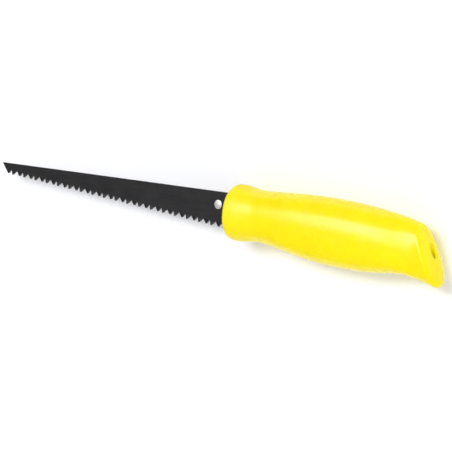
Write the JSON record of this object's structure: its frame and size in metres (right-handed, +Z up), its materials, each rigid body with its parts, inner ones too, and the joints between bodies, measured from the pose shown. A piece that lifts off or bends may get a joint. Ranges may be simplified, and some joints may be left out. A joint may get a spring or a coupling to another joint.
{
  "type": "drywall jab saw",
  "caption": "Push-cut jab saw for plasterboard: a narrow tapered blade with set teeth and a slanted tip in a one-piece moulded handle with a collar, a belly and a flared butt.",
  "frame": {"origin": "centre of the base: the saw lies on its side and the plane z = 0 is what it rests on", "axes": "+X from the blade's tip to the butt of the handle, +Y from the teeth to the spine, +Z up, at right angles to the blade"},
  "size_m": [0.2742, 0.032, 0.0242],
  "materials": {
    "blade_steel": "black coated spring steel, satin",
    "rivet_steel": "bright, lightly brushed",
    "handle_plastic": "glossy yellow moulded plastic"
  },
  "bodies": {
    "root": {"saw_blade": "blade_steel", "blade_rivet": "rivet_steel", "handle": "handle_plastic"}
  },
  "joints": []
}
